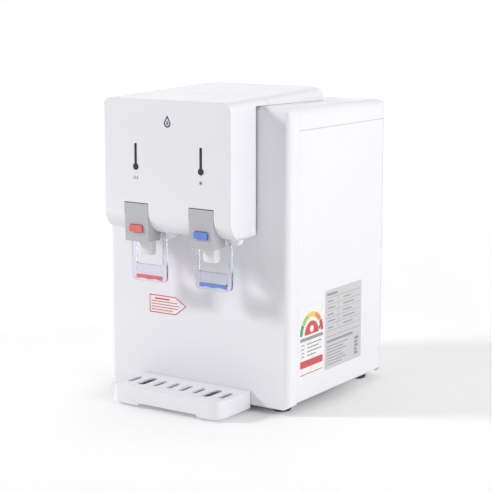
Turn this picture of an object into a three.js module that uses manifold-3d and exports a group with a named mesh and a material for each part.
// A countertop water dispenser with a hot and a cold tap, built as the separate pieces that it is
// assembled from. Millimetres, +Z up, X to the right seen from the front, Y to the back.
// While the pieces are built, Y = 0 is the face of the front panel; the exported group is then moved
// back so that its origin is the middle of its footprint.
import * as THREE from "three";
import { mergeVertices } from "three/addons/utils/BufferGeometryUtils.js";
import Module from "manifold-3d";

const wasm = await Module();
wasm.setup();

// ---------------------------------------------------------------- driving dimensions
const GAP = 0.3; // between pieces that touch
const SLACK = 0.5; // round pieces that slide or turn
const WALL = 2.5; // moulded shell
const THIN = 2; // small mouldings and tank sheet

// Body
const BODY_WIDTH = 260;
const BODY_DEPTH = 224;
const BODY_TOP = 354; // at the front edge of the cap
const TOP_FALL = 4; // how far the cap falls from front to back
const CAP_HEIGHT = 27;
const FRONT_BOTTOM = 7.4;
const SIDE_BOTTOM = 13;
const UPRIGHT_RADIUS = 9; // upright edges of the front and rear panels
const SHOULDER_RADIUS = 12; // long top edges
const HEEL_RADIUS = 8; // bottom corners of the front panel
const FRONT_WRAP = 20; // how far the front panel runs back along each side
const REAR_WRAP = 9;
const FOOT_HEIGHT = 6.7;
const FOOT_RADIUS = 11;
const FOOT_INSET = 24;
const PAN_RIM = 17;

// Tap head
const HEAD_WIDTH = 178;
const HEAD_DEPTH = 56; // in front of the front panel
const HEAD_RISE = 7; // its front top edge above the body top
const HEAD_HEIGHT = 155.3;
const HEAD_CHIN = 26; // radius of the lower front edge
const HEAD_CORNER = 11.5;
const HEAD_REAR_CORNER = 8;
const HEAD_TONGUE = 18.5; // how far it hooks back over the body top
const CROWN_SLOPE = 0.033; // rise of the head and lid tops per millimetre of depth

// Lid and cold tank
const LID_REAR = 158;
const LID_CORNER = 18;
const LID_BACK_CORNER = 24; // plan radius of the two rear corners
const LID_BACK_FILLET = 13; // from the top into the rear edge
const LID_SKIRT = 7;
const LID_REVEAL = 1; // dark joint between the head's tongue and the lid
const TANK_WIDTH = 146;
const TANK_FRONT = 36;
const TANK_HEIGHT = 122;
const TANK_DROP = 13; // tank rim below the body top
const TANK_LIP = 4;
const JACKET = 10; // foam thickness
const BAFFLE_HEIGHT = 40;
const SPIGOT_RADIUS = 4;
const SPIGOT_BORE = 2.8;
const HOSE_RADIUS = 5;
const HOSE_BEND = 8; // radius of the hoses' bends
const SPIGOT_LENGTH = 10; // above the hot tank
const SPIGOT_STUB = 4; // below the cold tank's jacket

// Taps
const TAP_SPACING = 91.5;
const TAP_OFFSET = 3.2; // middle of the two taps, right of the middle of the body
const COVER_WIDTH = 33.5;
const COVER_DEPTH = 23;
const COVER_HEIGHT = 44.5;
const COVER_DROP = 9.5; // cover below the underside of the head
const SPOUT_WIDTH = 18;
const SPOUT_DEPTH = 13;
const SPOUT_FRONT = 14; // behind the cover's face
const SPOUT_DROP = 18; // below the cover
const CHAMBER_RADIUS = 5;
const STEM_RADIUS = 2.2;
const LEVER_ARM = 5.5;
const LEVER_CLEAR = 3.1; // between an arm and the side of the cover
const LEVER_DROP = 60.5; // below the underside of the head
const LEVER_PLATE = 20.2; // height of the plate that a cup pushes
const LEVER_SHEET = 3;
const LEVER_BACK = 26; // rear face of the lever behind the cover's face
const PIN_RADIUS = 1.5;
const PIN_BACK = 12; // behind the cover's face
const PIN_RISE = 16.5; // above the underside of the head
const BOSS_RADIUS = 4;
const BUTTON_WIDTH = 18;
const BUTTON_HEIGHT = 8;
const BUTTON_PROUD = 2.6;
const BUTTON_RISE = 15.5; // above the bottom of the cover
const TAB_WIDTH = 11;
const TAB_DROP = 6;

// Indicators, in the face of the head
const MARK_HEIGHT = 77.5; // bulb above the underside of the head
const MARK_STEM = 27;
const MARK_WIDTH = 3;
const MARK_BULB = 3.8;

// Drip tray
const TRAY_WIDTH = 157.5;
const TRAY_DEPTH = 66;
const TRAY_TOP = 24;
const TRAY_BOTTOM = 3.6;
const TRAY_CORNER = 15;
const GRIP_WIDTH = 84; // finger recess under the front wall
const GRIP_HEIGHT = 2.7;
const GRIP_SHIFT = 6;
const HOOK_LENGTH = 9;
const HOOK_WIDTH = 14;
const HOOK_HEIGHT = 4;
const HOOK_SPACING = 100;
const GRILLE_SHEET = 2.5;
const GRILLE_BORDER = 3;
const SLOT_PITCH = 18.8;
const SLOT_LENGTH = 25;
const SLOT_WIDTH = 7.5;
const WIDE_SLOT_LENGTH = 33;
const WIDE_SLOT_WIDTH = 11;

// Cooler stack, from the rear panel forwards
const FAN_DEPTH = 15;
const FAN_SIZE = 80;
const SINK_DEPTH = 27;
const SINK_SIZE = 100;
const FIN_COUNT = 14;
const FIN_SHEET = 1.6;
const MODULE_DEPTH = 4;
const BLOCK_DEPTH = 14;
const BLOCK_SIZE = 44;

// Hot tank, filter and rear fittings
const HOT_RADIUS = 42;
const HOT_FLOOR = 22; // above the pan
const BAND_THICKNESS = 3.6;
const HOT_JACKET = 8;
const FILTER_RADIUS = 28;
const FITTING_OUT = 8; // water inlet behind the rear panel
const FITTING_RADIUS = 7;
const REAR_ROW = 62; // height of the rear fittings
const INLET_X = -90;
const INLET_BORE = 3.2;
const SOCKET_X = 20;
const SWITCH_X = 78;
const SWITCH_MARGIN = 5; // switch frame beside the rockers
const BEZEL = 2; // rim of a fitting on the outside of the rear panel
const ROCKER_WIDTH = 13;
const ROCKER_HEIGHT = 19;
const ROCKER_TILT = THREE.MathUtils.degToRad(8);
const SOCKET_WIDTH = 27;
const SOCKET_HEIGHT = 20;

// ---------------------------------------------------------------- places worked out from them
const HALF = BODY_WIDTH / 2;
const INSIDE = HALF - WALL;
const REAR_INSIDE = BODY_DEPTH - WALL;
const SWITCH_WIDTH = 2 * (ROCKER_WIDTH + SWITCH_MARGIN);
const SWITCH_HEIGHT = ROCKER_HEIGHT + 2 * 3;
const PAN_HALF = HALF - HEEL_RADIUS; // its floor, between the heels
const SEAM = BODY_TOP - CAP_HEIGHT;
const HEAD_BOTTOM = BODY_TOP + HEAD_RISE - HEAD_HEIGHT;
const LID_FRONT = HEAD_TONGUE + LID_REVEAL;
const OVERALL_FRONT = -TRAY_DEPTH;
const OVERALL_REAR = BODY_DEPTH + FITTING_OUT;
const MIDDLE_Y = (OVERALL_FRONT + OVERALL_REAR) / 2;

const FAN_FRONT = REAR_INSIDE - 1 - FAN_DEPTH;
const SINK_FRONT = FAN_FRONT - GAP - SINK_DEPTH;
const MODULE_FRONT = SINK_FRONT - GAP - MODULE_DEPTH;
const BLOCK_FRONT = MODULE_FRONT - GAP - BLOCK_DEPTH;
const TANK_REAR = BLOCK_FRONT - GAP;
const TANK_TOP = BODY_TOP - TANK_DROP;
const TANK_BOTTOM = TANK_TOP - TANK_HEIGHT;
const TANK_MIDDLE = TANK_BOTTOM + TANK_HEIGHT / 2;
const JACKET_BOTTOM = TANK_BOTTOM - GAP - JACKET;
const MOUTH_HALF = TANK_WIDTH / 2 - THIN;
const MOUTH_REAR = LID_REAR - 12;

const PAN_BOTTOM = FOOT_HEIGHT + GAP;
const PAN_FLOOR = PAN_BOTTOM + WALL;
const HOOK_BOTTOM = PAN_FLOOR + 1;
const HOT_BOTTOM = PAN_FLOOR + HOT_FLOOR;
const BAND_RADIUS = HOT_RADIUS + GAP + BAND_THICKNESS;
const HOT_OUTER = BAND_RADIUS + GAP + HOT_JACKET;
// The hot tank stands as far left as the body and the tank above it allow.
const HOT_X = -Math.min(INSIDE - 3 - HOT_OUTER, TANK_WIDTH / 2 - 3);
const HOT_Y = 76;
const FILTER_X = INSIDE - WALL - 2 - FILTER_RADIUS;
const FILTER_Y = 66;
const FILTER_TOP = JACKET_BOTTOM - 26;

const LEVER_WIDTH = COVER_WIDTH + 2 * (LEVER_ARM + LEVER_CLEAR);
const COVER_FRONT = -HEAD_DEPTH;
const COVER_BOTTOM = HEAD_BOTTOM - COVER_DROP;
const COVER_TOP = COVER_BOTTOM + COVER_HEIGHT;
const COVER_REAR = COVER_FRONT + COVER_DEPTH;
const SPOUT_Y0 = COVER_FRONT + SPOUT_FRONT;
const SPOUT_Y1 = SPOUT_Y0 + SPOUT_DEPTH;
const SPOUT_Y = (SPOUT_Y0 + SPOUT_Y1) / 2;
const SPOUT_BOTTOM = COVER_BOTTOM - SPOUT_DROP;
const SEAT = SPOUT_BOTTOM + 8;
const CHAMBER_TOP = HEAD_BOTTOM + 5.5;
const PIPE_Z = COVER_BOTTOM + 3;
const PIN_Y = COVER_FRONT + PIN_BACK;
const PIN_Z = HEAD_BOTTOM + PIN_RISE;
const TINE_TOP = PIN_Z + 2.2;
const COLLAR_BOTTOM = TINE_TOP + GAP;
const COLLAR_TOP = COLLAR_BOTTOM + 2;
// The hoses start at the taps' pipes, drop in front of the cold tank and pass below it.
const PIPE_END = WALL + 10;
const HOSE_DROP_Y = PIPE_END + GAP + HOSE_BEND;
const HOSE_LOW = Math.min(PIPE_Z - 2 * HOSE_BEND, JACKET_BOTTOM - HOSE_RADIUS - HOSE_BEND);
const HOT_TOP = HOSE_LOW - HOSE_BEND - SPIGOT_LENGTH - 1;
const LEVER_REAR = COVER_FRONT + LEVER_BACK;
const LEVER_BOTTOM = HEAD_BOTTOM - LEVER_DROP;
const TAPS = [
  { name: "hot", x: TAP_OFFSET - TAP_SPACING / 2, colour: 0xd8262a },
  { name: "cold", x: TAP_OFFSET + TAP_SPACING / 2, colour: 0x2f5fc4 },
];

// ---------------------------------------------------------------- materials
function finish(color, roughness, metalness = 0, opacity = 1) {
  return () =>
    new THREE.MeshStandardMaterial({ color, roughness, metalness, opacity, transparent: opacity < 1 });
}
const white = finish(0xf3f1f5, 0.35);
const innerWhite = finish(0xe4e4e6, 0.5);
const grey = finish(0xb4b4b9, 0.45);
const dark = finish(0x2c2c30, 0.5);
const black = finish(0x17171a, 0.6);
const foam = finish(0xd9d6c8, 0.95);
const steel = finish(0xb9bcc0, 0.3, 1);
const aluminium = finish(0xc9ccd0, 0.4, 1);
const clear = finish(0xe4e4f2, 0.1, 0, 0.45);
const silicone = finish(0xe9e6e2, 0.7);
const board = finish(0x1f6b3a, 0.6);

// ---------------------------------------------------------------- solids
// A closed three.js geometry as a solid that can be joined and cut.
function solid(geometry) {
  const bare = geometry.clone();
  bare.deleteAttribute("normal");
  bare.deleteAttribute("uv");
  const merged = mergeVertices(bare, 1e-4);
  return new wasm.Manifold(
    new wasm.Mesh({
      numProp: 3,
      vertProperties: new Float32Array(merged.attributes.position.array),
      triVerts: new Uint32Array(merged.index.array),
    }),
  );
}

// The triangles of a solid as a three.js geometry.
function geometryOf(made) {
  const mesh = made.getMesh();
  const geometry = new THREE.BufferGeometry();
  geometry.setAttribute("position", new THREE.BufferAttribute(mesh.vertProperties, 3));
  geometry.setIndex(new THREE.BufferAttribute(mesh.triVerts, 1));
  const flat = geometry.toNonIndexed();
  flat.computeVertexNormals();
  return flat;
}

function join(first, ...others) {
  return others.reduce((whole, piece) => whole.add(piece), first);
}

function cut(first, ...others) {
  return others.reduce((whole, piece) => whole.subtract(piece), first);
}

function box(x0, x1, y0, y1, z0, z1) {
  const geometry = new THREE.BoxGeometry(x1 - x0, y1 - y0, z1 - z0);
  geometry.translate((x0 + x1) / 2, (y0 + y1) / 2, (z0 + z1) / 2);
  return solid(geometry);
}

// Round bars along each axis; the two other coordinates are the centre.
function barZ(radius, x, y, z0, z1, sides = 20) {
  const geometry = new THREE.CylinderGeometry(radius, radius, z1 - z0, sides);
  geometry.rotateX(Math.PI / 2);
  geometry.translate(x, y, (z0 + z1) / 2);
  return solid(geometry);
}

function barY(radius, x, z, y0, y1, sides = 20) {
  const geometry = new THREE.CylinderGeometry(radius, radius, y1 - y0, sides);
  geometry.translate(x, (y0 + y1) / 2, z);
  return solid(geometry);
}

function barX(radius, y, z, x0, x1, sides = 16) {
  const geometry = new THREE.CylinderGeometry(radius, radius, x1 - x0, sides);
  geometry.rotateZ(Math.PI / 2);
  geometry.translate((x0 + x1) / 2, y, z);
  return solid(geometry);
}

// A rectangle with its own radius at each corner, in the shape's own two coordinates.
function panel(u0, u1, v0, v1, { bl = 0, br = 0, tr = 0, tl = 0 } = {}) {
  const shape = new THREE.Shape();
  shape.moveTo(u0 + bl, v0);
  shape.lineTo(u1 - br, v0);
  if (br) shape.absarc(u1 - br, v0 + br, br, -Math.PI / 2, 0);
  shape.lineTo(u1, v1 - tr);
  if (tr) shape.absarc(u1 - tr, v1 - tr, tr, 0, Math.PI / 2);
  shape.lineTo(u0 + tl, v1);
  if (tl) shape.absarc(u0 + tl, v1 - tl, tl, Math.PI / 2, Math.PI);
  shape.lineTo(u0, v0 + bl);
  if (bl) shape.absarc(u0 + bl, v0 + bl, bl, Math.PI, 1.5 * Math.PI);
  return shape;
}

function allRound(radius) {
  return { bl: radius, br: radius, tr: radius, tl: radius };
}

function outline(points) {
  return new THREE.Shape(points.map(([u, v]) => new THREE.Vector2(u, v)));
}

function extruded(shape, depth, curveSegments = 2) {
  return new THREE.ExtrudeGeometry(shape, { depth, bevelEnabled: false, curveSegments });
}

// The same outline swept along each axis: plan views along Z, front views along Y, side views along X.
function planPrism(shape, z0, z1) {
  return solid(extruded(shape, z1 - z0).translate(0, 0, z0));
}

function frontPrism(shape, y0, y1) {
  return solid(extruded(shape, y1 - y0).rotateX(Math.PI / 2).translate(0, y1, 0));
}

const SIDE_VIEW = new THREE.Matrix4().makeBasis(
  new THREE.Vector3(0, 1, 0),
  new THREE.Vector3(0, 0, 1),
  new THREE.Vector3(1, 0, 0),
);

function sidePrism(shape, x0, x1) {
  return solid(extruded(shape, x1 - x0).applyMatrix4(SIDE_VIEW).translate(x0, 0, 0));
}

// A solid of revolution about Z from [radius, height] points that start and end on the axis.
function turned(points, x, y, sides = 20) {
  const profile = points.map(([radius, height]) => new THREE.Vector2(radius, height));
  const geometry = new THREE.LatheGeometry(profile, sides);
  geometry.rotateX(Math.PI / 2);
  geometry.translate(x, y, 0);
  return solid(geometry);
}

// A round rod along a smooth path.
function rod(radius, points, steps, sides = 8) {
  const circle = new THREE.Shape();
  circle.absarc(0, 0, radius, 0, 2 * Math.PI);
  const extrudePath = new THREE.CatmullRomCurve3(points.map((p) => new THREE.Vector3(...p)));
  return new THREE.ExtrudeGeometry(circle, { steps, extrudePath, curveSegments: sides / 2 });
}

const root = new THREE.Group();
root.position.y = -MIDDLE_Y;

function addPiece(name, shape, material, parent = root) {
  const geometry = shape.isBufferGeometry ? shape : geometryOf(shape);
  const mesh = new THREE.Mesh(geometry, material());
  mesh.name = name;
  parent.add(mesh);
}

// ---------------------------------------------------------------- body shell
// Height of the sloping cap top, and of the head and lid tops, at a depth.
function capTopAt(y) {
  return BODY_TOP - (TOP_FALL * Math.max(0, y - FRONT_WRAP)) / (BODY_DEPTH - FRONT_WRAP);
}

function crownAt(y) {
  return BODY_TOP + HEAD_RISE + CROWN_SLOPE * (y + HEAD_DEPTH);
}

// The outer form of the whole body, shrunk by an inset on every face.
function bodyForm(inset) {
  const half = HALF - inset;
  const rear = BODY_DEPTH - inset;
  const round = UPRIGHT_RADIUS - inset;
  const shoulder = SHOULDER_RADIUS - inset;
  const plan = planPrism(panel(-half, half, inset, rear, allRound(round)), 0, BODY_TOP);
  const front = frontPrism(
    panel(-half, half, FRONT_BOTTOM + inset, BODY_TOP - inset, {
      bl: HEEL_RADIUS - inset,
      br: HEEL_RADIUS - inset,
      tr: shoulder,
      tl: shoulder,
    }),
    0,
    BODY_DEPTH,
  );
  const side = sidePrism(
    outline([
      [0, 0],
      [BODY_DEPTH, 0],
      [BODY_DEPTH, capTopAt(BODY_DEPTH) - shoulder - inset],
      [rear - 0.3 * shoulder, capTopAt(BODY_DEPTH) - 0.3 * shoulder - inset],
      [rear - shoulder, capTopAt(BODY_DEPTH - shoulder) - inset],
      [FRONT_WRAP, BODY_TOP - inset],
      [inset + 0.5 * round, BODY_TOP - inset],
      [inset + 0.15 * round, BODY_TOP - 0.15 * round - inset],
      [inset, BODY_TOP - 0.5 * round - inset],
      [0, BODY_TOP - round - inset],
    ]),
    -half,
    half,
  );
  return plan.intersect(front).intersect(side);
}

const bodyShell = cut(bodyForm(0), bodyForm(WALL));

function slice(shape, y0, y1, z0, z1) {
  return shape.intersect(box(-HALF - 1, HALF + 1, y0, y1, z0, z1));
}

function addFrontPanel() {
  const pipes = TAPS.map((tap) => barY(HOSE_RADIUS + SLACK, tap.x, PIPE_Z, -1, WALL + 1));
  const shell = slice(bodyShell, -1, FRONT_WRAP, FRONT_BOTTOM, BODY_TOP + 1);
  // The underside is open between the heels, so that the pan can drop in.
  const open = box(-PAN_HALF - GAP, PAN_HALF + GAP, WALL, FRONT_WRAP + 1, 0, FRONT_BOTTOM + WALL + 1);
  const hookSlots = hookBoxes(SLACK, -1, WALL + 1, HOOK_BOTTOM + HOOK_HEIGHT + SLACK);
  addPiece("front_panel", cut(shell, open, ...pipes, ...hookSlots), white);
}

// The tray's two hooks, or with a clearance the holes for them.
function hookBoxes(clearance, y0, y1, top) {
  const half = HOOK_WIDTH / 2 + clearance;
  return [-HOOK_SPACING / 2, HOOK_SPACING / 2].map((x) =>
    box(x - half, x + half, y0, y1, HOOK_BOTTOM - clearance, top),
  );
}

function addSidePanels() {
  for (const [name, side] of [
    ["left_side_panel", -1],
    ["right_side_panel", 1],
  ]) {
    const y0 = FRONT_WRAP + GAP;
    const y1 = BODY_DEPTH - REAR_WRAP - GAP;
    const x = [side * (HALF - WALL), side * HALF].sort((a, b) => a - b);
    const rib = [side * (HALF - WALL - 6), side * (HALF - WALL + 0.5)].sort((a, b) => a - b);
    const sheet = box(x[0], x[1], y0, y1, SIDE_BOTTOM, SEAM - GAP);
    const middle = (y0 + y1) / 2;
    const stiffener = box(rib[0], rib[1], middle + 24, middle + 26, JACKET_BOTTOM - 22, SEAM - 8);
    addPiece(name, join(sheet, stiffener), white);
  }
}

function addTopCover() {
  const shell = slice(bodyShell, FRONT_WRAP + GAP, BODY_DEPTH + 1, SEAM, BODY_TOP + 1);
  const mouth = planPrism(
    panel(-MOUTH_HALF, MOUTH_HALF, TANK_FRONT, MOUTH_REAR, allRound(LID_CORNER - 6)),
    SEAM,
    BODY_TOP + 1,
  );
  addPiece("top_cover", cut(shell, mouth), white);
}

function addRearPanel() {
  const shell = slice(bodyShell, BODY_DEPTH - REAR_WRAP, BODY_DEPTH + 1, FRONT_BOTTOM, SEAM - GAP);
  const vent = (z, half) => box(-half, half, REAR_INSIDE - 1, BODY_DEPTH + 1, z, z + 4.5);
  const vents = [];
  for (let row = -4; row <= 4; row++) {
    const reach = FAN_SIZE / 2 - 4;
    vents.push(vent(TANK_MIDDLE + row * 9 - 2.25, Math.sqrt(reach ** 2 - (row * 7) ** 2)));
  }
  for (let row = 0; row < 4; row++) vents.push(vent(REAR_ROW + 45 + row * 9, FAN_SIZE / 2));
  const holes = [
    barY(FITTING_RADIUS + SLACK, INLET_X, REAR_ROW, REAR_INSIDE - 1, BODY_DEPTH + 1),
    holeFor(SOCKET_X, SOCKET_WIDTH, SOCKET_HEIGHT),
    holeFor(SWITCH_X, SWITCH_WIDTH, SWITCH_HEIGHT),
  ];
  const open = box(
    -PAN_HALF - GAP,
    PAN_HALF + GAP,
    BODY_DEPTH - REAR_WRAP - 1,
    REAR_INSIDE,
    0,
    FRONT_BOTTOM + WALL + 1,
  );
  addPiece("rear_panel", cut(shell, open, ...vents, ...holes), white);
}

function holeFor(x, width, height) {
  const halfWidth = width / 2 + GAP;
  const halfHeight = height / 2 + GAP;
  return box(
    x - halfWidth,
    x + halfWidth,
    REAR_INSIDE - 1,
    BODY_DEPTH + 1,
    REAR_ROW - halfHeight,
    REAR_ROW + halfHeight,
  );
}

function addBase() {
  const front = WALL + GAP;
  const top = PAN_BOTTOM + PAN_RIM;
  const heelTop = FRONT_BOTTOM + HEEL_RADIUS;
  const sweep = (half, inset, z0, z1) => {
    const corner = Math.max(UPRIGHT_RADIUS - WALL - inset, 1);
    const shape = panel(-half, half, front + inset, REAR_INSIDE - GAP - inset, allRound(corner));
    return planPrism(shape, z0, z1);
  };
  const wide = INSIDE - GAP;
  // Above its narrow floor the pan widens to fill the inside of the heels.
  const round = HEEL_RADIUS - WALL - GAP;
  const heels = frontPrism(
    panel(-wide, wide, heelTop - round, top, { bl: round, br: round }),
    0,
    BODY_DEPTH,
  );
  const upper = sweep(wide, 0, heelTop - round, top).intersect(heels);
  const outer = join(upper, sweep(PAN_HALF, 0, PAN_BOTTOM, heelTop));
  const inner = join(
    sweep(PAN_HALF - WALL, WALL, PAN_FLOOR, top + 1),
    sweep(wide - WALL, WALL, heelTop, top + 1),
  );
  const notches = hookBoxes(SLACK, front - 1, front + WALL + 1, top + 1);
  addPiece("base_pan", cut(outer, inner, ...notches), innerWhite);
  for (const [name, x, y] of [
    ["foot_front_left", -1, FOOT_INSET],
    ["foot_front_right", 1, FOOT_INSET],
    ["foot_rear_left", -1, BODY_DEPTH - FOOT_INSET],
    ["foot_rear_right", 1, BODY_DEPTH - FOOT_INSET],
  ]) {
    const profile = [
      [0, 0],
      [FOOT_RADIUS - 1.5, 0],
      [FOOT_RADIUS, 1.5],
      [FOOT_RADIUS - 0.5, FOOT_HEIGHT],
      [0, FOOT_HEIGHT],
    ];
    addPiece(name, turned(profile, x * (HALF - FOOT_INSET), y), black);
  }
}

// ---------------------------------------------------------------- tap head
// A long bar with the rounded top corners of the head and the lid, sloping up to the back.
function crownBar(inset) {
  const half = HEAD_WIDTH / 2 - inset;
  const corner = HEAD_CORNER - inset;
  const reach = BODY_DEPTH;
  const shape = panel(-half, half, -2 * HEAD_HEIGHT, -inset, { tr: corner, tl: corner });
  const bar = extruded(shape, 2 * reach).rotateX(Math.PI / 2).translate(0, reach, 0);
  bar.rotateX(Math.atan(CROWN_SLOPE));
  bar.translate(0, -HEAD_DEPTH, BODY_TOP + HEAD_RISE);
  return solid(bar);
}

function headForm(inset) {
  const half = HEAD_WIDTH / 2 - inset;
  const front = -HEAD_DEPTH + inset;
  const bottom = HEAD_BOTTOM + inset;
  const chin = HEAD_CHIN - inset;
  const profile = new THREE.Shape();
  profile.moveTo(front + chin, bottom);
  profile.lineTo(-GAP + (inset && 1), bottom);
  profile.lineTo(-GAP + (inset && 1), crownAt(0) + HEAD_RISE);
  profile.lineTo(front + 3, crownAt(-HEAD_DEPTH) + HEAD_RISE);
  profile.lineTo(front + 1.2, crownAt(-HEAD_DEPTH) - inset - 0.2);
  profile.lineTo(front, crownAt(-HEAD_DEPTH) - inset - 2);
  profile.lineTo(front, bottom + chin);
  profile.absarc(front + chin, bottom + chin, chin, Math.PI, 1.5 * Math.PI);
  const side = solid(
    extruded(profile, 2 * half, 4).applyMatrix4(SIDE_VIEW).translate(-half, 0, 0),
  );
  const rear = inset ? 0 : HEAD_REAR_CORNER;
  const plan = planPrism(
    panel(-half, half, front, inset ? 1 : 0, { bl: 2 - inset / 2, br: 2 - inset / 2, tr: rear, tl: rear }),
    bottom - 1,
    crownAt(HEAD_DEPTH) + 1,
  );
  const face = frontPrism(
    panel(-half, half, bottom, crownAt(HEAD_DEPTH) + 1, { bl: 8 - inset, br: 8 - inset }),
    front - 1,
    2,
  );
  return side.intersect(plan).intersect(face).intersect(crownBar(inset));
}

function leverTab(x) {
  const inner = x + LEVER_WIDTH / 2 + 1.2;
  const bottom = HEAD_BOTTOM - TAB_DROP;
  const shape = panel(inner, inner + TAB_WIDTH, bottom, HEAD_BOTTOM + 1, { br: TAB_DROP - 0.5 });
  return frontPrism(shape, LEVER_REAR - 6, LEVER_REAR + 3);
}

function markShape(x, clearance) {
  const z = HEAD_BOTTOM + MARK_HEIGHT;
  const half = MARK_WIDTH / 2 + clearance;
  const top = z + MARK_STEM + clearance;
  const shape = panel(x - half, x + half, z, top, { tr: half - 0.1, tl: half - 0.1 });
  return (y0, y1) => join(frontPrism(shape, y0, y1), barY(MARK_BULB + clearance, x, z, y0, y1, 16));
}

function addHead() {
  const tongue = box(
    -HEAD_WIDTH / 2,
    HEAD_WIDTH / 2,
    -HEAD_REAR_CORNER - 4,
    HEAD_TONGUE,
    BODY_TOP + GAP,
    crownAt(HEAD_TONGUE) + 1,
  ).intersect(crownBar(0));
  const shell = cut(join(headForm(0), tongue), headForm(WALL));
  const cuts = [];
  const tabs = [];
  for (const tap of TAPS) {
    const half = COVER_WIDTH / 2 + GAP;
    cuts.push(
      box(
        tap.x - half,
        tap.x + half,
        COVER_FRONT - 1,
        COVER_REAR + GAP,
        HEAD_BOTTOM - 1,
        COVER_TOP + GAP,
      ),
    );
    const spout = SPOUT_WIDTH / 2 + SLACK;
    cuts.push(
      box(tap.x - spout, tap.x + spout, SPOUT_Y0, SPOUT_Y1 + SLACK, HEAD_BOTTOM - 1, HEAD_BOTTOM + WALL + 1),
    );
    for (const side of [-1, 1]) {
      const middle = tap.x + (side * (LEVER_WIDTH - LEVER_ARM)) / 2;
      const reach = LEVER_ARM / 2 + 0.7;
      cuts.push(
        box(
          middle - reach,
          middle + reach,
          LEVER_REAR - LEVER_SHEET - 4,
          LEVER_REAR + 6.5,
          HEAD_BOTTOM - 1,
          HEAD_BOTTOM + WALL + 3,
        ),
      );
    }
    cuts.push(markShape(tap.x, GAP)(COVER_FRONT - 1, COVER_FRONT + WALL + 1));
    tabs.push(leverTab(tap.x));
  }
  addPiece("tap_head", join(cut(shell, ...cuts), ...tabs), white);
  for (const tap of TAPS) {
    addPiece("indicator_" + tap.name, markShape(tap.x, 0)(COVER_FRONT - 0.3, COVER_FRONT + 2), dark);
  }
}

// ---------------------------------------------------------------- taps
function addTapCover(tap, parent) {
  const half = COVER_WIDTH / 2;
  const face = panel(-half, half, COVER_BOTTOM, COVER_TOP, allRound(1));
  const outer = frontPrism(face, COVER_FRONT, COVER_REAR);
  const inner = box(
    -half + THIN,
    half - THIN,
    COVER_FRONT + THIN,
    COVER_REAR + 1,
    COVER_BOTTOM + THIN,
    COVER_TOP - THIN,
  );
  const spoutHalf = SPOUT_WIDTH / 2 + SLACK;
  const spoutHole = box(
    -spoutHalf,
    spoutHalf,
    SPOUT_Y0 - SLACK,
    COVER_REAR + 1,
    COVER_BOTTOM - 1,
    COVER_BOTTOM + THIN + 1,
  );
  const buttonHole = frontPrism(buttonShape(GAP), COVER_FRONT - 1, COVER_FRONT + THIN + 1);
  const pinHole = barX(PIN_RADIUS + GAP, PIN_Y, PIN_Z, -half - 1, half + 1);
  addPiece("tap_cover_" + tap.name, cut(outer, inner, spoutHole, buttonHole, pinHole), grey, parent);
}

function buttonShape(clearance) {
  const half = BUTTON_WIDTH / 2 + clearance;
  const middle = COVER_BOTTOM + BUTTON_RISE;
  const tall = BUTTON_HEIGHT / 2 + clearance;
  return panel(-half, half, middle - tall, middle + tall, allRound(3));
}

function addLockButton(tap, parent) {
  const middle = COVER_BOTTOM + BUTTON_RISE;
  const inside = COVER_FRONT + THIN + GAP;
  const cap = frontPrism(buttonShape(0), COVER_FRONT - BUTTON_PROUD, inside + 1);
  const flange = box(-11, 11, inside, inside + 1.5, middle - 6, middle + 6);
  const tongue = box(-3, 3, inside, inside + 3.5, middle - 2, middle + 2);
  addPiece("lock_button_" + tap.name, join(cap, flange, tongue), finish(tap.colour, 0.4), parent);
}

function addTapBody(tap, parent) {
  const half = SPOUT_WIDTH / 2;
  const chamber = planPrism(
    panel(-half, half, SPOUT_Y0, SPOUT_Y1, allRound(3.5)),
    SPOUT_BOTTOM,
    CHAMBER_TOP,
  );
  const pipe = barY(HOSE_RADIUS, 0, PIPE_Z, SPOUT_Y, PIPE_END, 16);
  const bore = barZ(CHAMBER_RADIUS, 0, SPOUT_Y, SEAT, CHAMBER_TOP - THIN, 16);
  const outlet = barZ(CHAMBER_RADIUS - 1.5, 0, SPOUT_Y, SPOUT_BOTTOM - 1, SEAT + 1, 16);
  const stemHole = barZ(STEM_RADIUS + GAP, 0, SPOUT_Y, CHAMBER_TOP - THIN - 1, CHAMBER_TOP + 1, 16);
  const feed = barY(HOSE_RADIUS - 1.6, 0, PIPE_Z, SPOUT_Y, PIPE_END + 1, 12);
  addPiece("tap_body_" + tap.name, cut(join(chamber, pipe), bore, outlet, stemHole, feed), grey, parent);
}

function addPlunger(tap, parent) {
  const disc = CHAMBER_RADIUS - 0.5;
  const profile = [
    [0, SEAT + GAP],
    [disc, SEAT + GAP],
    [disc, SEAT + 3],
    [STEM_RADIUS, SEAT + 4.5],
    [STEM_RADIUS, COLLAR_BOTTOM],
    [6, COLLAR_BOTTOM],
    [6, COLLAR_TOP],
    [STEM_RADIUS, COLLAR_TOP],
    [STEM_RADIUS, COLLAR_TOP + 4],
    [0, COLLAR_TOP + 4],
  ];
  addPiece("valve_plunger_" + tap.name, turned(profile, 0, SPOUT_Y, 16), silicone, parent);
}

function addValveSpring(tap, parent) {
  const wire = 0.6;
  const low = COLLAR_TOP + wire + GAP;
  const high = COVER_TOP - THIN - wire - GAP;
  const turns = 4;
  const perTurn = 8;
  const points = [];
  for (let i = 0; i <= turns * perTurn; i++) {
    const angle = (2 * Math.PI * i) / perTurn;
    const height = low + ((high - low) * i) / (turns * perTurn);
    points.push([4.4 * Math.cos(angle), SPOUT_Y + 4.4 * Math.sin(angle), height]);
  }
  addPiece("valve_spring_" + tap.name, rod(wire, points, turns * perTurn, 4), steel, parent);
}

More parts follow.
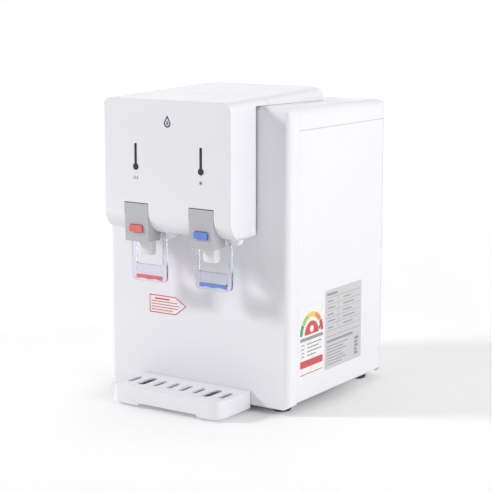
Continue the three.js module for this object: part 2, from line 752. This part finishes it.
function addLever(tap, parent) {
  const half = LEVER_WIDTH / 2;
  const front = LEVER_REAR - LEVER_SHEET;
  const middle = (front + LEVER_REAR) / 2;
  const elbow = HEAD_BOTTOM + 3.5;
  const boss = barX(BOSS_RADIUS, PIN_Y, PIN_Z, -half, half);
  const crank = sidePrism(
    outline([
      [PIN_Y - 2, PIN_Z - 3.2],
      [middle - 1, elbow - 3],
      [LEVER_REAR, elbow - 3],
      [LEVER_REAR, elbow + 3.5],
      [PIN_Y + 2, PIN_Z + 3.2],
    ]),
    -half,
    half,
  );
  const sheet = box(-half, half, front, LEVER_REAR, LEVER_BOTTOM, elbow + 1);
  const face = frontPrism(
    panel(-half, half, LEVER_BOTTOM, PIN_Z + BOSS_RADIUS + 1, { bl: 6, br: 6 }),
    COVER_FRONT,
    0,
  );
  const inside = half - LEVER_ARM;
  const window = frontPrism(
    panel(-inside, inside, LEVER_BOTTOM + LEVER_PLATE, PIN_Z + BOSS_RADIUS + 2, { bl: 2, br: 2 }),
    COVER_FRONT - 1,
    1,
  );
  const bore = barX(PIN_RADIUS + GAP, PIN_Y, PIN_Z, -half - 1, half + 1);
  const barSlot = leverBarShape(GAP, front - 1, LEVER_REAR + 1);
  const lever = cut(join(boss, crank, sheet).intersect(face), window, bore, barSlot);
  addPiece("lever_" + tap.name, lever, clear, parent);
  const bar = leverBarShape(0, front - 0.4, LEVER_REAR + 0.2);
  addPiece("lever_bar_" + tap.name, bar, finish(tap.colour, 0.35), parent);
}

function leverBarShape(clearance, y0, y1) {
  const half = LEVER_WIDTH / 2 - 6.4 + clearance;
  const bottom = LEVER_BOTTOM + 2.4 - clearance;
  const top = LEVER_BOTTOM + 7.4 + clearance;
  return frontPrism(panel(-half, half, bottom, top, allRound(1.2)), y0, y1);
}

function addPinAndFork(tap, parent) {
  const reach = LEVER_WIDTH / 2 - 0.6;
  addPiece("lever_pin_" + tap.name, barX(PIN_RADIUS, PIN_Y, PIN_Z, -reach, reach), steel, parent);
  const hub = barX(3.6, PIN_Y, PIN_Z, -6.5, 6.5);
  const tines = [-1, 1].map((side) => {
    const x = [side * 3.1, side * 6.5].sort((a, b) => a - b);
    return box(x[0], x[1], PIN_Y, SPOUT_Y + 1, TINE_TOP - 3, TINE_TOP);
  });
  const bore = barX(PIN_RADIUS + GAP, PIN_Y, PIN_Z, -10, 10);
  addPiece("lift_fork_" + tap.name, cut(join(hub, ...tines), bore), steel, parent);
}

function addTap(tap) {
  const place = new THREE.Group();
  place.position.x = tap.x;
  root.add(place);
  addTapCover(tap, place);
  addLockButton(tap, place);
  addTapBody(tap, place);
  addPlunger(tap, place);
  addValveSpring(tap, place);
  addLever(tap, place);
  addPinAndFork(tap, place);
}

// ---------------------------------------------------------------- drip tray
function addDripTray() {
  const half = TRAY_WIDTH / 2;
  const rear = -2 * GAP;
  const corners = (inset) => ({ bl: TRAY_CORNER - inset, br: TRAY_CORNER - inset, tr: 1, tl: 1 });
  const outer = planPrism(panel(-half, half, -TRAY_DEPTH, rear, corners(0)), TRAY_BOTTOM, TRAY_TOP);
  const inner = planPrism(
    panel(-half + WALL, half - WALL, -TRAY_DEPTH + WALL, rear - WALL, corners(WALL)),
    TRAY_BOTTOM + GRIP_HEIGHT + THIN,
    TRAY_TOP + 1,
  );
  const rebate = planPrism(
    panel(
      -half + GRILLE_BORDER - GAP,
      half - GRILLE_BORDER + GAP,
      -TRAY_DEPTH + GRILLE_BORDER - GAP - 1,
      rear - GRILLE_BORDER + GAP + 1,
      corners(GRILLE_BORDER),
    ),
    TRAY_TOP - GRILLE_SHEET - GAP,
    TRAY_TOP + 1,
  );
  const grip = box(
    GRIP_SHIFT - GRIP_WIDTH / 2,
    GRIP_SHIFT + GRIP_WIDTH / 2,
    -TRAY_DEPTH - 1,
    -TRAY_DEPTH + 16,
    TRAY_BOTTOM - 1,
    TRAY_BOTTOM + GRIP_HEIGHT,
  );
  const hooks = hookBoxes(0, rear - 1, HOOK_LENGTH, HOOK_BOTTOM + HOOK_HEIGHT);
  addPiece("drip_tray", join(cut(outer, inner, rebate, grip), ...hooks), white);
}

// A slot with round ends that runs from front to back.
function slot(x, length, width) {
  const y = -TRAY_DEPTH / 2;
  const [u, v] = [width / 2, length / 2];
  const shape = panel(x - u, x + u, y - v, y + v, allRound(u - 0.1));
  return planPrism(shape, TRAY_TOP - GRILLE_SHEET - 1, TRAY_TOP + 1);
}

function addDripGrille() {
  const half = TRAY_WIDTH / 2 - GRILLE_BORDER;
  const front = -TRAY_DEPTH + GRILLE_BORDER - 1;
  const rear = -2 * GAP - GRILLE_BORDER + 1;
  const corner = TRAY_CORNER - GRILLE_BORDER;
  const sheet = planPrism(
    panel(-half, half, front, rear, { bl: corner, br: corner, tr: 1, tl: 1 }),
    TRAY_TOP - GRILLE_SHEET,
    TRAY_TOP,
  );
  const slots = [];
  for (let i = 0; i < 8; i++) {
    const wide = i === 1 || i === 6;
    const x = (i - 3.5) * SLOT_PITCH;
    slots.push(slot(x, wide ? WIDE_SLOT_LENGTH : SLOT_LENGTH, wide ? WIDE_SLOT_WIDTH : SLOT_WIDTH));
  }
  addPiece("drip_grille", cut(sheet, ...slots), white);
}

// ---------------------------------------------------------------- lid and cold tank
function lidForm(inset) {
  const half = HEAD_WIDTH / 2 - inset;
  const front = LID_FRONT + inset;
  const rear = LID_REAR - inset;
  const corner = LID_BACK_CORNER - inset;
  const fillet = LID_BACK_FILLET - inset;
  const base = inset ? -5 : GAP;
  const back = [0, 30, 60, 90].map((degrees) => {
    const turn = (degrees * Math.PI) / 180;
    return [rear - fillet * (1 - Math.cos(turn)), crownAt(rear) - inset - fillet * (1 - Math.sin(turn))];
  });
  const side = sidePrism(
    outline([
      [front, capTopAt(front) + base],
      [rear, capTopAt(rear) + base],
      ...back,
      [front, crownAt(front) + 1],
    ]),
    -half,
    half,
  );
  const plan = planPrism(
    panel(-half, half, front, rear, { bl: 1, br: 1, tr: corner, tl: corner }),
    BODY_TOP - 2 * TOP_FALL - 6,
    crownAt(rear) + 1,
  );
  return side.intersect(plan).intersect(crownBar(inset));
}

function addLid() {
  const outer = panel(
    -MOUTH_HALF + SLACK,
    MOUTH_HALF - SLACK,
    TANK_FRONT + SLACK,
    MOUTH_REAR - SLACK,
    allRound(LID_CORNER - 6 - SLACK),
  );
  const inner = panel(
    -MOUTH_HALF + SLACK + THIN,
    MOUTH_HALF - SLACK - THIN,
    TANK_FRONT + SLACK + THIN,
    MOUTH_REAR - SLACK - THIN,
    allRound(LID_CORNER - 6 - SLACK - THIN),
  );
  const low = capTopAt(MOUTH_REAR) - LID_SKIRT;
  const skirt = cut(planPrism(outer, low, BODY_TOP + 8), planPrism(inner, low - 1, BODY_TOP + 9));
  addPiece("reservoir_lid", join(cut(lidForm(0), lidForm(WALL)), skirt), white);
}

function addLidGasket() {
  // A flat ring on the cap, inside the lid and outside its skirt.
  const clear = MOUTH_HALF + 1.5;
  const ring = (grow) =>
    panel(
      -clear - grow,
      clear + grow,
      TANK_FRONT - 1.5 - grow,
      MOUTH_REAR + 1.5 + grow,
      allRound(LID_CORNER - 5 + grow),
    );
  const band = cut(planPrism(ring(3.5), 0, 2 * BODY_TOP), planPrism(ring(0), -1, 2 * BODY_TOP + 1));
  const slab = sidePrism(
    outline([
      [FRONT_WRAP, BODY_TOP + GAP],
      [BODY_DEPTH, capTopAt(BODY_DEPTH) + GAP],
      [BODY_DEPTH, capTopAt(BODY_DEPTH) + GAP + 2.5],
      [FRONT_WRAP, BODY_TOP + GAP + 2.5],
    ]),
    -HALF,
    HALF,
  );
  addPiece("lid_gasket", band.intersect(slab), silicone);
}

const COLD_OUTLET_Y = TANK_FRONT + 26;
const HOT_OUT = [HOT_X + 14, HOT_Y - 14];
const HOT_IN = [HOT_X + 12, HOT_Y + 18]; // straight below the cold tank's own outlet to it
const VALVE_Y = TANK_FRONT + 20;
const VALVE_Z = TANK_TOP - 20;

function tankPan(inset, z0, z1) {
  const half = TANK_WIDTH / 2 - inset;
  const round = allRound(Math.max(10 - inset, 2));
  return planPrism(panel(-half, half, TANK_FRONT + inset, TANK_REAR - inset, round), z0, z1);
}

function addColdTank() {
  const lip = tankPan(-TANK_LIP, TANK_TOP - THIN, TANK_TOP);
  const cold = TAPS[1].x;
  const [feedX, feedY] = HOT_IN;
  const spigots = [
    barZ(SPIGOT_RADIUS, cold, COLD_OUTLET_Y, JACKET_BOTTOM - SPIGOT_STUB, TANK_BOTTOM + 1, 16),
    barZ(SPIGOT_RADIUS, feedX, feedY, JACKET_BOTTOM - SPIGOT_STUB, TANK_BOTTOM + 1, 16),
  ];
  const stubEnd = JACKET_BOTTOM - SPIGOT_STUB;
  const bores = [
    barZ(SPIGOT_BORE, cold, COLD_OUTLET_Y, stubEnd - 1, TANK_BOTTOM + THIN + 1, 12),
    barZ(SPIGOT_BORE, feedX, feedY, stubEnd - 1, TANK_BOTTOM + THIN + 1, 12),
    barX(SPIGOT_RADIUS + SLACK, VALVE_Y, VALVE_Z, -TANK_WIDTH / 2 - 1, -TANK_WIDTH / 2 + THIN + 1),
  ];
  const wall = tankPan(0, TANK_BOTTOM, TANK_TOP);
  const hollow = tankPan(THIN, TANK_BOTTOM + THIN, TANK_TOP + 1);
  addPiece("cold_tank", cut(join(wall, lip, ...spigots), hollow, ...bores), steel);
  const outer = tankPan(-JACKET, JACKET_BOTTOM, TANK_TOP - THIN - GAP);
  const cavity = tankPan(-GAP, TANK_BOTTOM - GAP, TANK_TOP);
  const window = box(
    -BLOCK_SIZE / 2 - SLACK,
    BLOCK_SIZE / 2 + SLACK,
    TANK_REAR - 1,
    TANK_REAR + JACKET + 1,
    TANK_MIDDLE - BLOCK_SIZE / 2 - SLACK,
    TANK_MIDDLE + BLOCK_SIZE / 2 + SLACK,
  );
  const holes = [
    barZ(SPIGOT_RADIUS + SLACK, cold, COLD_OUTLET_Y, JACKET_BOTTOM - 1, TANK_BOTTOM, 16),
    barZ(SPIGOT_RADIUS + SLACK, feedX, feedY, JACKET_BOTTOM - 1, TANK_BOTTOM, 16),
    barX(SPIGOT_RADIUS + SLACK, VALVE_Y, VALVE_Z, -TANK_WIDTH / 2 - JACKET - 1, -TANK_WIDTH / 2),
  ];
  addPiece("tank_jacket", cut(outer, cavity, window, ...holes), foam);
}

function addBaffle() {
  const top = TANK_BOTTOM + THIN + BAFFLE_HEIGHT;
  const plate = tankPan(THIN + 1, top - 2, top);
  const well = barZ(9, 0, TANK_REAR - 30, top - 3, top + 1, 16);
  const half = TANK_WIDTH / 2 - 14;
  const legs = [];
  for (const x of [-half, half]) {
    for (const y of [TANK_FRONT + 14, TANK_REAR - 14]) {
      legs.push(barZ(3, x, y, TANK_BOTTOM + THIN + GAP, top - 1, 10));
    }
  }
  addPiece("baffle", join(cut(plate, well), ...legs), innerWhite);
}

const FLOAT_PIVOT_X = -TANK_WIDTH / 2 + THIN + 24;
const FLOAT_DROP = THREE.MathUtils.degToRad(28);
const FLOAT_ARM = 58;
const FLOAT_RADIUS = 12;

function addInletValve() {
  const wallX = -TANK_WIDTH / 2;
  const shank = barX(SPIGOT_RADIUS, VALVE_Y, VALVE_Z, wallX - JACKET - 8, wallX + THIN + 4);
  const block = box(wallX + THIN + 1, FLOAT_PIVOT_X - 4, VALVE_Y - 7, VALVE_Y + 7, VALVE_Z - 7, VALVE_Z + 7);
  const ears = [-1, 1].map((side) => {
    const y = [VALVE_Y + side * 3.6, VALVE_Y + side * 7].sort((a, b) => a - b);
    return box(FLOAT_PIVOT_X - 5, FLOAT_PIVOT_X + 4, y[0], y[1], VALVE_Z - 4, VALVE_Z + 4);
  });
  const pin = barY(1.2, FLOAT_PIVOT_X, VALVE_Z, VALVE_Y - 5, VALVE_Y + 5, 10);
  addPiece("inlet_valve", join(shank, block, ...ears, pin), innerWhite);
}

function addFloatArm() {
  const ball = new THREE.SphereGeometry(FLOAT_RADIUS, 14, 8);
  ball.translate(FLOAT_ARM, 0, 0);
  const eye = barY(3.2, 0, 0, -2.8, 2.8, 12);
  const arm = box(0, FLOAT_ARM - FLOAT_RADIUS + 2, -1.5, 1.5, -1.5, 1.5);
  const bore = barY(1.2 + GAP, 0, 0, -4, 4, 10);
  const geometry = geometryOf(cut(join(eye, arm, solid(ball)), bore));
  const mesh = new THREE.Mesh(geometry, silicone());
  mesh.name = "float_arm";
  mesh.position.set(FLOAT_PIVOT_X, VALVE_Y, VALVE_Z);
  mesh.rotation.y = FLOAT_DROP;
  root.add(mesh);
}

// ---------------------------------------------------------------- cooler
function square(half, y0, y1, corner = 0) {
  const z = TANK_MIDDLE;
  return frontPrism(panel(-half, half, z - half, z + half, allRound(corner)), y0, y1);
}

function addCooler() {
  addPiece("cooling_block", square(BLOCK_SIZE / 2, BLOCK_FRONT, BLOCK_FRONT + BLOCK_DEPTH), aluminium);
  const moduleRear = MODULE_FRONT + MODULE_DEPTH;
  addPiece("cooling_module", square(BLOCK_SIZE / 2 - 2, MODULE_FRONT, moduleRear), innerWhite);
  const half = SINK_SIZE / 2;
  const base = square(half, SINK_FRONT, SINK_FRONT + 5);
  const fins = [];
  for (let i = 0; i < FIN_COUNT; i++) {
    const x = -half + ((SINK_SIZE - FIN_SHEET) * i) / (FIN_COUNT - 1);
    const rear = SINK_FRONT + SINK_DEPTH;
    fins.push(box(x, x + FIN_SHEET, SINK_FRONT + 4, rear, TANK_MIDDLE - half, TANK_MIDDLE + half));
  }
  addPiece("heat_sink", join(base, ...fins), aluminium);
  addFan();
}

function addFan() {
  const half = FAN_SIZE / 2;
  const bore = barY(half - 3, 0, TANK_MIDDLE, FAN_FRONT - 1, FAN_FRONT + FAN_DEPTH + 1, 32);
  const rear = FAN_FRONT + FAN_DEPTH;
  const hub = barY(12, 0, TANK_MIDDLE, rear - 2.5, rear, 16);
  const struts = [
    box(-half + 1, half - 1, rear - 2.5, rear, TANK_MIDDLE - 1.5, TANK_MIDDLE + 1.5),
    box(-1.5, 1.5, rear - 2.5, rear, TANK_MIDDLE - half + 1, TANK_MIDDLE + half - 1),
  ];
  const frame = cut(square(half, FAN_FRONT, rear, 4), bore);
  addPiece("fan_frame", join(frame, hub, ...struts), black);
  const front = FAN_FRONT + 1;
  const back = rear - 2.5 - 1;
  const blades = [];
  for (let i = 0; i < 7; i++) {
    const blade = new THREE.BoxGeometry(half - 14, 1.2, 13);
    blade.translate((half - 14) / 2 + 9, 0, 0);
    blade.rotateX(THREE.MathUtils.degToRad(32));
    blade.rotateY((2 * Math.PI * i) / 7);
    blade.translate(0, (front + back) / 2, TANK_MIDDLE);
    blades.push(solid(blade));
  }
  addPiece("fan_rotor", join(barY(12, 0, TANK_MIDDLE, front, back, 16), ...blades), black);
}

// ---------------------------------------------------------------- hot tank and filter
function addHotTank() {
  const shell = cut(
    barZ(HOT_RADIUS, HOT_X, HOT_Y, HOT_BOTTOM, HOT_TOP, 28),
    barZ(HOT_RADIUS - 1.5, HOT_X, HOT_Y, HOT_BOTTOM + 1.5, HOT_TOP - 1.5, 28),
  );
  const ends = HOT_TOP + SPIGOT_LENGTH;
  const spigots = [HOT_OUT, HOT_IN].map(([x, y]) => barZ(SPIGOT_RADIUS, x, y, HOT_TOP - 1, ends, 12));
  const bores = [HOT_OUT, HOT_IN].map(([x, y]) => barZ(SPIGOT_BORE, x, y, HOT_TOP - 4, ends + 1, 12));
  addPiece("hot_tank", cut(join(shell, ...spigots), ...bores), steel);
  const jacket = cut(
    barZ(HOT_OUTER, HOT_X, HOT_Y, HOT_BOTTOM, HOT_TOP, 24),
    barZ(BAND_RADIUS + GAP, HOT_X, HOT_Y, HOT_BOTTOM - 1, HOT_TOP + 1, 24),
  );
  addPiece("hot_jacket", jacket, foam);
  const band = cut(
    barZ(BAND_RADIUS, HOT_X, HOT_Y, HOT_BOTTOM + 15, HOT_BOTTOM + 60, 24),
    barZ(HOT_RADIUS + GAP + 0.2, HOT_X, HOT_Y, HOT_BOTTOM + 14, HOT_BOTTOM + 61, 28),
  );
  addPiece("heater_band", band, steel);
  const profile = [
    [0, HOT_TOP + GAP],
    [8, HOT_TOP + GAP],
    [8, HOT_TOP + 4],
    [5.5, HOT_TOP + 9],
    [0, HOT_TOP + 9],
  ];
  addPiece("thermostat", turned(profile, HOT_X - 18, HOT_Y, 14), black);
}

function addFilter() {
  const low = PAN_FLOOR + 8;
  const profile = [
    [0, low],
    [FILTER_RADIUS - 4, low],
    [FILTER_RADIUS, low + 4],
    [FILTER_RADIUS, FILTER_TOP - 10],
    [FILTER_RADIUS - 12, FILTER_TOP],
    [0, FILTER_TOP],
  ];
  addPiece("filter_cartridge", turned(profile, FILTER_X, FILTER_Y, 24), innerWhite);
  const cap = barZ(FILTER_RADIUS - 8, FILTER_X, FILTER_Y, FILTER_TOP + GAP, FILTER_TOP + 18, 20);
  const ports = barX(SPIGOT_RADIUS, FILTER_Y, FILTER_TOP + 10, FILTER_X - 28, FILTER_X + 26, 12);
  addPiece("filter_head", join(cap, ports), dark);
}

// ---------------------------------------------------------------- hoses
// The corners of a path cut back to bends that the hose can follow.
function bent(corners) {
  const points = [corners[0]];
  for (let i = 1; i < corners.length - 1; i++) {
    const corner = new THREE.Vector3(...corners[i]);
    const before = new THREE.Vector3(...corners[i - 1]).sub(corner).setLength(HOSE_BEND);
    const after = new THREE.Vector3(...corners[i + 1]).sub(corner).setLength(HOSE_BEND);
    const middle = corner.clone().addScaledVector(before, 0.29).addScaledVector(after, 0.29);
    points.push(corner.clone().add(before).toArray(), middle.toArray(), corner.clone().add(after).toArray());
  }
  points.push(corners[corners.length - 1]);
  return points;
}

function addHose(name, corners, steps) {
  addPiece(name, rod(HOSE_RADIUS - 0.5, bent(corners), steps), silicone);
}

function addHoses() {
  const [hot, cold] = TAPS.map((tap) => tap.x);
  const start = PIPE_END + GAP;
  const under = JACKET_BOTTOM - SPIGOT_STUB - GAP;
  const spigotTop = HOT_TOP + SPIGOT_LENGTH + GAP;
  const drop = (x) => [
    [x, start, PIPE_Z],
    [x, HOSE_DROP_Y, PIPE_Z],
    [x, HOSE_DROP_Y, HOSE_LOW],
  ];
  addHose("cold_hose", [...drop(cold), [cold, COLD_OUTLET_Y, HOSE_LOW], [cold, COLD_OUTLET_Y, under]], 26);
  const [outX, outY] = HOT_OUT;
  addHose("hot_hose", [...drop(hot), [outX, outY, HOSE_LOW], [outX, outY, spigotTop]], 26);
  const [inX, inY] = HOT_IN;
  addHose("hot_feed_hose", [[inX, inY, under], [inX, inY, spigotTop]], 8);
}

// ---------------------------------------------------------------- rear fittings and electrics
function addRearFittings() {
  const inletFlange = barY(FITTING_RADIUS + 3, INLET_X, REAR_ROW, BODY_DEPTH + GAP, BODY_DEPTH + 3);
  const inlet = barY(FITTING_RADIUS, INLET_X, REAR_ROW, REAR_INSIDE - 18, OVERALL_REAR);
  const inletBore = barY(INLET_BORE, INLET_X, REAR_ROW, REAR_INSIDE - 19, OVERALL_REAR + 1, 12);
  addPiece("water_inlet", cut(join(inlet, inletFlange), inletBore), white);
  const halfWidth = SOCKET_WIDTH / 2;
  const halfHeight = SOCKET_HEIGHT / 2;
  const face = (grow) =>
    panel(
      SOCKET_X - halfWidth - grow,
      SOCKET_X + halfWidth + grow,
      REAR_ROW - halfHeight - grow,
      REAR_ROW + halfHeight + grow,
      allRound(2),
    );
  const block = join(
    frontPrism(face(0), REAR_INSIDE - 14, BODY_DEPTH + 1),
    frontPrism(face(3), BODY_DEPTH + GAP, BODY_DEPTH + BEZEL),
  );
  const well = frontPrism(face(-3), REAR_INSIDE - 8, BODY_DEPTH + 3);
  const blades = [-7, 7].map((dx) => {
    const x = SOCKET_X + dx;
    return box(x - 1, x + 1, REAR_INSIDE - 9, BODY_DEPTH - 1, REAR_ROW - 3, REAR_ROW + 3);
  });
  addPiece("power_inlet", join(cut(block, well), ...blades), black);
}

function addSwitches() {
  const half = SWITCH_WIDTH / 2;
  const tall = SWITCH_HEIGHT / 2;
  const body = join(
    box(SWITCH_X - half, SWITCH_X + half, REAR_INSIDE - 12, BODY_DEPTH + 1, REAR_ROW - tall, REAR_ROW + tall),
    box(
      SWITCH_X - half - 2,
      SWITCH_X + half + 2,
      BODY_DEPTH + GAP,
      BODY_DEPTH + BEZEL,
      REAR_ROW - tall - 2,
      REAR_ROW + tall + 2,
    ),
  );
  const wells = [];
  for (const [name, side, colour] of [
    ["cold_switch", -1, 0x2f7f46],
    ["hot_switch", 1, 0xc8282c],
  ]) {
    const x = SWITCH_X + side * (ROCKER_WIDTH / 2 + 1.5);
    const reach = ROCKER_WIDTH / 2;
    const rise = ROCKER_HEIGHT / 2;
    const wide = reach + SLACK;
    const high = rise + 1;
    wells.push(box(x - wide, x + wide, BODY_DEPTH - 7, BODY_DEPTH + 3, REAR_ROW - high, REAR_ROW + high));
    const rocker = sidePrism(
      outline([
        [-4, -rise + 3],
        [-4, rise - 3],
        [0.6, rise - 0.4],
        [1.6, rise - 0.8],
        [0.6, 0],
        [1.6, -rise + 0.8],
        [0.6, -rise + 0.4],
      ]),
      -reach,
      reach,
    );
    const mesh = new THREE.Mesh(geometryOf(rocker), finish(colour, 0.4)());
    mesh.name = name;
    mesh.position.set(x, BODY_DEPTH + 1, REAR_ROW);
    mesh.rotation.x = ROCKER_TILT;
    root.add(mesh);
  }
  addPiece("switch_frame", cut(body, ...wells), black);
}

// The board stands on edge, with its taller parts facing the front.
function addPowerBoard() {
  const y = BODY_DEPTH - 40;
  const low = PAN_FLOOR + 12;
  const sheet = box(-34, 52, y, y + 1.6, low, low + 96);
  const parts = [
    box(-28, -2, y - 20, y + 0.5, low + 10, low + 40),
    box(6, 22, y - 14, y + 0.5, low + 12, low + 28),
    barY(7, 38, low + 24, y - 22, y + 0.5, 16),
    barY(7, 38, low + 46, y - 22, y + 0.5, 16),
    box(-26, 4, y - 8, y + 0.5, low + 58, low + 84),
    box(16, 44, y - 10, y + 0.5, low + 66, low + 84),
  ];
  addPiece("power_board", join(sheet, ...parts), board);
}

addFrontPanel();
addSidePanels();
addTopCover();
addRearPanel();
addBase();
addHead();
TAPS.forEach(addTap);
addDripTray();
addDripGrille();
addLid();
addLidGasket();
addColdTank();
addBaffle();
addInletValve();
addFloatArm();
addCooler();
addHotTank();
addFilter();
addHoses();
addRearFittings();
addSwitches();
addPowerBoard();

export default root;
